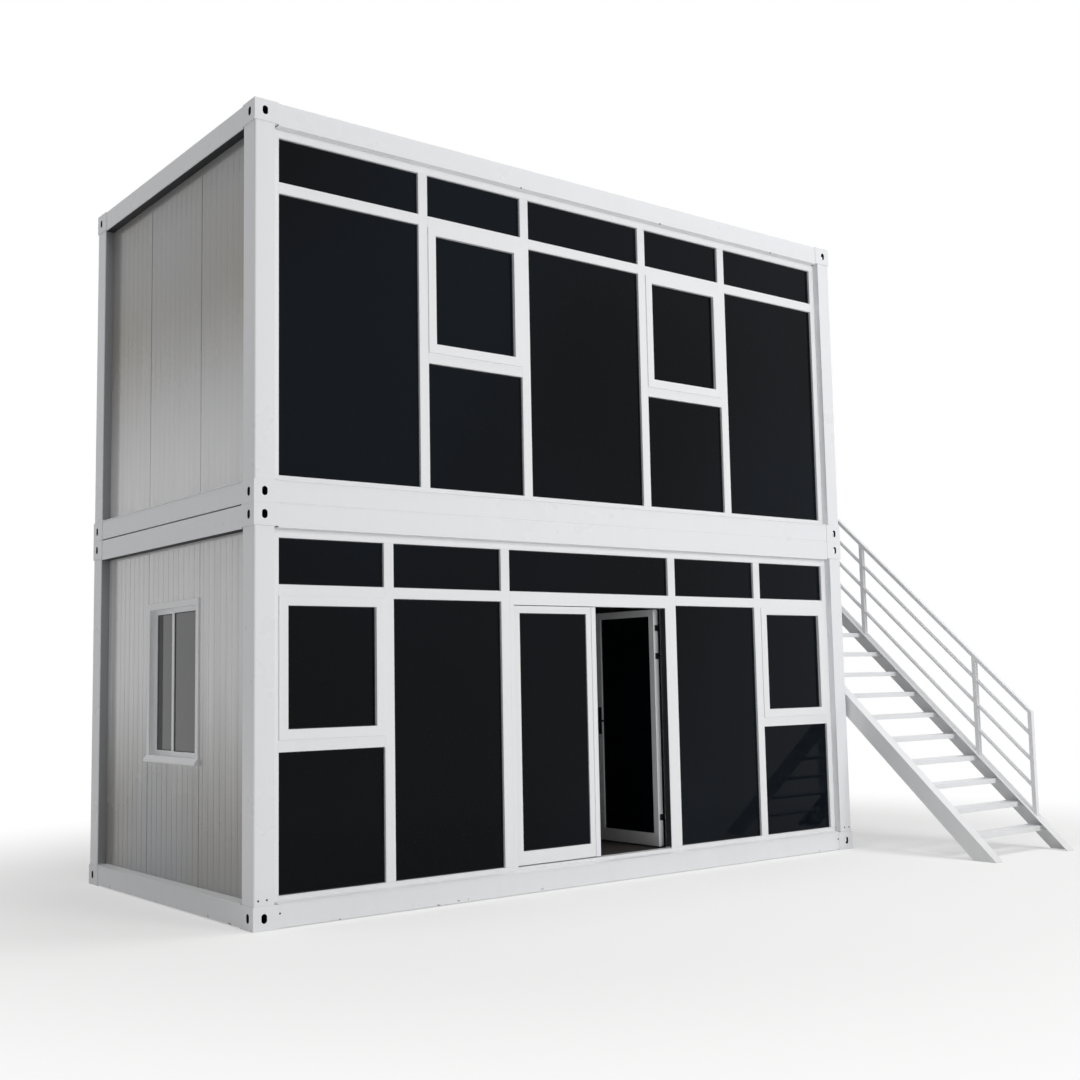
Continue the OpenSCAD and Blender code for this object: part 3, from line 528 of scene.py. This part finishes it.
# ring of points round an axis through a spot, lifted along the axis
def ringAt(spot, axis, radius, lift, sides):
    turn = axis.to_track_quat("Z", "Y").to_matrix()
    angles = [2 * math.pi * i / sides for i in range(sides)]
    return [spot + turn @ Vector((radius * math.cos(a), radius * math.sin(a), lift)) for a in angles]


# round screw head with a driver recess: shares of its radius and height
screwForm = {"sides": 12, "rings": [(1.0, 0.0), (0.94, 0.45), (0.72, 0.85), (0.4, 1.0), (0.34, 0.55)]}


def addScrew(bm, spot, out, look):
    radius, height = look["radius"] * mm, look["height"] * mm
    addRings(bm, [ringAt(spot, out, radius * share, height * lift, screwForm["sides"])
                  for share, lift in screwForm["rings"]])


# hexagon bolt on a round washer: sides, and shares of its size
boltForm = {"washer": (24, [(1.25, 0), (1.25, 0.16), (1.0, 0.17)]),
            "head": (6, [(0.95, 0.17), (0.95, 0.72), (0.8, 0.82)])}


def addBolt(bm, spot, out, look):
    size = look["size"] * mm
    for sides, rings in boltForm.values():
        addRings(bm, [ringAt(spot, out, size * share, size * lift, sides) for share, lift in rings])


# round bar along a line, with radii in millimetres at shares of its length
def addTurned(bm, start, end, profile, sides=14):
    line = end - start
    addRings(bm, [ringAt(start + line * share, line, radius * mm, 0, sides) for share, radius in profile])


# screws that show on the front beams and at the feet of the front posts
frontFixings = {"radius": 7, "height": 3, "face": 4,
                "topBeam": [(2285, 5436), (3772, 5435), (5142, 5429)],
                "feet": [(38, 193), (99, 194), (194, 98)]}
bm = bmesh.new()
spots = frontFixings["topBeam"] + frontFixings["feet"]
spots += [(length - x, z) for x, z in frontFixings["feet"]]
for x, z in spots:
    addScrew(bm, at(x, frontFixings["face"], z), frontward, frontFixings)
makePiece("front_beam_screws", bm, blackMetalAndPaintedShade, "cabin")

# anchor bolts on the foot plates of the landing legs
landingBolts = {"size": 11, "inset": 22, "plate": 20}
bm = bmesh.new()
for points in solidsOf("landing_legs"):
    low, high = spanOf([p for p in points if p.z < landingBolts["plate"] * mm])
    inset = landingBolts["inset"] * mm
    for x in (low.x + inset, high.x - inset):
        for y in (low.y + inset, high.y - inset):
            addBolt(bm, Vector((x, y, high.z)), upward, landingBolts)
makePiece("landing_anchor_bolts", bm, zinc, "cabin")

# roof screws on the crests of the sheet
roofFixings = {"radius": 9, "height": 6, "rows": 4, "edge": 90, "crest": 0.5, "digits": 4}
roofLow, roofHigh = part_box("roof_sheet")
crest = sorted({round(v.co.x, roofFixings["digits"]) for v in frame["nodes"]["roof_sheet"].data.vertices
                if roofHigh.z - v.co.z < roofFixings["crest"] * mm})
inset = roofFixings["edge"] * mm
pitch = (roofHigh.y - roofLow.y - 2 * inset) / (roofFixings["rows"] - 1)
bm = bmesh.new()
for left, right in zip(crest[::2], crest[1::2]):
    for i in range(roofFixings["rows"]):
        spot = Vector(((left + right) / 2, roofLow.y + inset + pitch * i, roofHigh.z))
        addScrew(bm, spot, upward, roofFixings)
makePiece("roof_screws", bm, zinc, "cabin")
print("fixings set")


# bar with small round edges between two corners, in cabin millimetres
def addStrip(bm, low, high, edge=0.8):
    low, high = at(*low), at(*high)
    made = bmesh.ops.create_cube(bm, size=1)["verts"]
    for v in made:
        v.co = Vector([(low[i] + high[i]) / 2 + v.co[i] * (high[i] - low[i]) for i in range(3)])
    edges = list({e for v in made for e in v.link_edges})
    bmesh.ops.bevel(bm, geom=edges, offset=edge * mm, **edgeForm)


# painted shade: grey strips where the panels meet the posts, and dark ones under the top rails
edgeShadeStrips = {"thick": 3, "outer": 10, "wall": 75, "post": 175, "backPost": 155, "foot": 172, "head": 2635}


def shadeStripsAtEnd(posts, heads, look, z, flip):
    def strip(bm, y0, y1, low, high):
        x0, x1 = look["outer"], look["wall"]
        if flip:
            x0, x1 = length - x1, length - x0
        addStrip(bm, (x0, y0, z + low), (x1, y1, z + high))

    near, far, t = look["post"], depth - look["post"], look["thick"]
    strip(posts, near, near + t, look["foot"], look["head"])
    strip(posts, far - t, far, look["foot"], look["head"])
    strip(heads, near + t, far - t, look["head"] - t, look["head"])


def shadeStripsAtBack(posts, heads, look, z):
    left, right, t = look["backPost"], length - look["backPost"], look["thick"]
    near, far = depth - look["wall"], depth - look["outer"]
    addStrip(posts, (left, near, z + look["foot"]), (left + t, far, z + look["head"]))
    addStrip(posts, (right - t, near, z + look["foot"]), (right, far, z + look["head"]))
    addStrip(heads, (left + t, near, z + look["head"] - t), (right - t, far, z + look["head"]))


posts, heads = bmesh.new(), bmesh.new()
for z in (0, storey):
    shadeStripsAtEnd(posts, heads, edgeShadeStrips, z, False)
    shadeStripsAtEnd(posts, heads, edgeShadeStrips, z, True)
    shadeStripsAtBack(posts, heads, edgeShadeStrips, z)
makePiece("wall_edge_shade_strips", posts, greyRubberAndPaintedShade, "cabin")
makePiece("wall_head_shade_strips", heads, blackRubberAndPaintedShade, "cabin")

# pale sealing strips in the long joints between the two modules
stackSeal = {"half": 5, "outer": 7, "across": 23, "end": 183, "edge": 0.5}
bm = bmesh.new()
for y in (stackSeal["outer"], depth - stackSeal["outer"] - stackSeal["across"]):
    addStrip(bm, (stackSeal["end"], y, storey - stackSeal["half"]),
             (length - stackSeal["end"], y + stackSeal["across"], storey + stackSeal["half"]),
             stackSeal["edge"])
makePiece("stacking_seals", bm, alloyWhite, "cabin")

# folded flashings from the top rails down to the roof sheet: points inwards from the edge, and heights
flashing = {"sheet": 1.6, "front": [(96, 5597), (134, 5597), (143, 5577), (238, 5574)],
            "end": [(112, 5597), (150, 5597), (159, 5578), (228, 5575)],
            "endX": 185, "endY": 192, "lift": 2}


def addFlashing(bm, profile, run, place, sheet):
    outline = profile + [(across, z - sheet) for across, z in profile[::-1]]
    addRings(bm, [[at(*place(along, across, z)) for across, z in outline] for along in run])


bm = bmesh.new()
sheet, lift = flashing["sheet"], flashing["lift"]
alongX = (flashing["endX"], length - flashing["endX"])
alongY = (flashing["endY"], depth - flashing["endY"])
addFlashing(bm, flashing["front"], alongX, lambda along, across, z: (along, across, z), sheet)
addFlashing(bm, flashing["end"], alongX, lambda along, across, z: (along, depth - across, z), sheet)
addFlashing(bm, flashing["end"], alongY, lambda along, across, z: (across, along, z + lift), sheet)
addFlashing(bm, flashing["end"], alongY, lambda along, across, z: (length - across, along, z + lift), sheet)
makePiece("roof_flashings", bm, framePaint, "cabin")

# foam closers that fill the troughs of the sheet under the flashings
closers = {"low": 5533, "high": 5572.5, "across": 12, "front": 218, "end": 208}
bm = bmesh.new()
for y in (closers["front"], depth - closers["front"] - closers["across"]):
    addStrip(bm, (closers["end"], y, closers["low"]),
             (length - closers["end"], y + closers["across"], closers["high"]))
for x in (closers["end"], length - closers["end"] - closers["across"]):
    addStrip(bm, (x, closers["front"], closers["low"]),
             (x + closers["across"], depth - closers["front"], closers["high"]))
makePiece("roof_closers", bm, greyRubberAndPaintedShade, "cabin")

# dark facing strips on the reveals of the doorway: place of each jamb, and the way into the doorway
reveal = {"jambs": [(2190, 1), (3760, -1)], "thick": 1.5, "front": 68, "back": 130,
          "foot": 200, "head": 2153, "edge": 0.4}
bm = bmesh.new()
for x, way in reveal["jambs"]:
    near, far = sorted((x, x + way * reveal["thick"]))
    addStrip(bm, (near, reveal["front"], reveal["foot"]), (far, reveal["back"], reveal["head"]),
             reveal["edge"])
makePiece("doorway_reveal_strips", bm, blackRubberAndPaintedShade, "cabin")

# black sleeves, arms and flaps over the leaf halves of the entrance hinges, and plates on the leaf edges
leafHinges = {"radius": 9, "gap": 0.5, "tall": 38,
              "sleeve": [(0, 9.5), (0.88, 9.5), (0.95, 7.2), (1, 2.7)],
              "strips": {  # reach along the leaf, in front of the axis and above the lower knuckle
                  "arm": ((0, 73.5), (4.5, 9.5), (0, 35)),
                  "flap": ((35, 73.5), (4.5, 14.5), (0, 35)),
                  "edgePlate": ((33, 35), (9, 50), (-25, 25))}}


def addLeafHinge(bm, points, turned, look):
    low, high = (corner - frontLeft for corner in spanOf(points))
    r = look["radius"]
    x = low.x / mm + r if turned else high.x / mm - r
    y, z = high.y / mm - r, high.z / mm + look["gap"]
    addTurned(bm, at(x, y, z), at(x, y, z + look["tall"]), look["sleeve"])
    for along, front, rise in look["strips"].values():
        if turned:
            near, far = (x - front[1], y + along[0]), (x - front[0], y + along[1])
        else:
            near, far = (x + along[0], y - front[1]), (x + along[1], y - front[0])
        addStrip(bm, (*near, z + rise[0]), (*far, z + rise[1]))


for body, turned in (("left_door", False), ("right_door", True)):
    bm = bmesh.new()
    for points in solidsOf("entrance_hinges"):
        onRight = points[0].x > at(length / 2, 0, 0).x
        if onRight == turned:
            addLeafHinge(bm, points, turned, leafHinges)
    makePiece(body + "_hinge_covers", bm, blackMetalAndPaintedShade, body)

# barrel hinges of the side door, with a plate on the leaf and one on the frame
sideHinges = {"tall": 110, "tip": 8, "axis": (5877, 2687), "heights": (3150, 3980, 4840),
              "half": [(0, 3.6), (0.03, 7.2), (0.06, 7.2), (0.061, 9), (0.495, 9), (0.497, 8.1)],
              "plates": {"leaf": (5865, 2643, 2684), "frame": (5875, 2690, 2727)}, "plate": 2.5}
bm = bmesh.new()
barrel = sideHinges["half"] + [(1 - share, radius) for share, radius in sideHinges["half"][::-1]]
for z in sideHinges["heights"]:
    top = z + sideHinges["tall"]
    addTurned(bm, at(*sideHinges["axis"], z - sideHinges["tip"]),
              at(*sideHinges["axis"], top + sideHinges["tip"]), barrel)
    for face, near, far in sideHinges["plates"].values():
        addStrip(bm, (face, near, z), (face + sideHinges["plate"], far, top))
makePiece("side_door_hinges", bm, zinc, "cabin")

# rippled weld beads where the treads meet the stringers
beads = {"radius": 3.5, "step": 7, "inset": 12, "sides": 6, "end": 0.35, "dip": 0.82}
bm = bmesh.new()
for points in solidsOf("stair_treads"):
    low, high = spanOf(points)
    inset = beads["inset"] * mm
    last = 2 * int((high.y - low.y - 2 * inset) / (beads["step"] * mm))
    profile = []
    for i in range(last + 1):
        swell = beads["end"] if i in (0, last) else (1 if i % 2 else beads["dip"])
        profile.append((i / last, beads["radius"] * swell))
    for x in (low.x, high.x):
        start, end = Vector((x, low.y + inset, high.z)), Vector((x, high.y - inset, high.z))
        addTurned(bm, start, end, profile, beads["sides"])
makePiece("tread_welds", bm, stairPaint, "cabin")

# bolts through the brackets that carry the landing
bracketBolts = {"size": 10, "x": 5963, "faces": (1935, 2530), "heights": (2842, 2917)}
bm = bmesh.new()
for y in bracketBolts["faces"]:
    for z in bracketBolts["heights"]:
        addBolt(bm, at(bracketBolts["x"], y, z), frontward, bracketBolts)
makePiece("bracket_bolts", bm, zinc, "cabin")
print("trim fitted")

# pale floor and even studio light
studio = {"floor": 60, "segments": 96, "drop": 2, "fadeFrom": 3.8, "fadeTo": 8.0,
          "floorTone": tone(247, 247, 246), "lift": 0.4, "sky": 0.24}
lamps = {
    "keyLamp": {"spot": (6200, -14500, 7000), "aim": (3500, 0, 2400), "size": 7, "power": 1000},
    "stairLamp": {"spot": (7800, -2500, 17000), "aim": (6500, 0, 2000), "size": 7, "power": 750},
    "endLamp": {"spot": (-2600, 500, 19000), "aim": (0, 1500, 1500), "size": 6, "power": 680}}


def makeFloor(look):
    bm = bmesh.new()
    bmesh.ops.create_circle(bm, cap_ends=True, radius=look["floor"], segments=look["segments"])
    mesh = bpy.data.meshes.new("studioFloor")
    bm.to_mesh(mesh)
    bm.free()
    floor = bpy.data.objects.new("studioFloor", mesh)
    floor.location.z = -look["drop"] * mm
    scene.collection.objects.link(floor)
    f = Finish("studioFloor", Roughness=0.9, Specular_IOR_Level=0.1, Base_Color=(*look["floorTone"], 1))
    away = f.node("ShaderNodeVectorMath", {"operation": "LENGTH"}, {0: f.place()}, "Value")
    fade = away.step(look["fadeFrom"], look["fadeTo"])
    share = (look["lift"] + fade * (1 - look["lift"])) * f.seen()
    white = f.node("ShaderNodeEmission", None, {"Color": (1, 1, 1), "Strength": 1.0})
    both = f.node("ShaderNodeMixShader", None, {0: share, 1: Wire(f, f.surface.outputs[0]), 2: white})
    f.tree.links.new(both.socket, f.tree.nodes["Material Output"].inputs["Surface"])
    mesh.materials.append(f.owner)


def makeSky(look):
    f = Finish("studioSky", "worlds", "Background", Color=(1, 1, 1, 1))
    scene.world = f.finish(Strength=look["sky"] + f.seen() * (1 - look["sky"]))


def makeLamp(name, look):
    data = bpy.data.lights.new(name, "AREA")
    data.shape = "DISK"
    data.size = look["size"]
    data.energy = look["power"]
    lamp = bpy.data.objects.new(name, data)
    lamp.location = at(*look["spot"])
    lamp.rotation_euler = (at(*look["aim"]) - lamp.location).to_track_quat("-Z", "Y").to_euler()
    lamp.visible_glossy = False
    scene.collection.objects.link(lamp)


makeFloor(studio)
makeSky(studio)
for name, look in lamps.items():
    makeLamp(name, look)
print("studio lit")
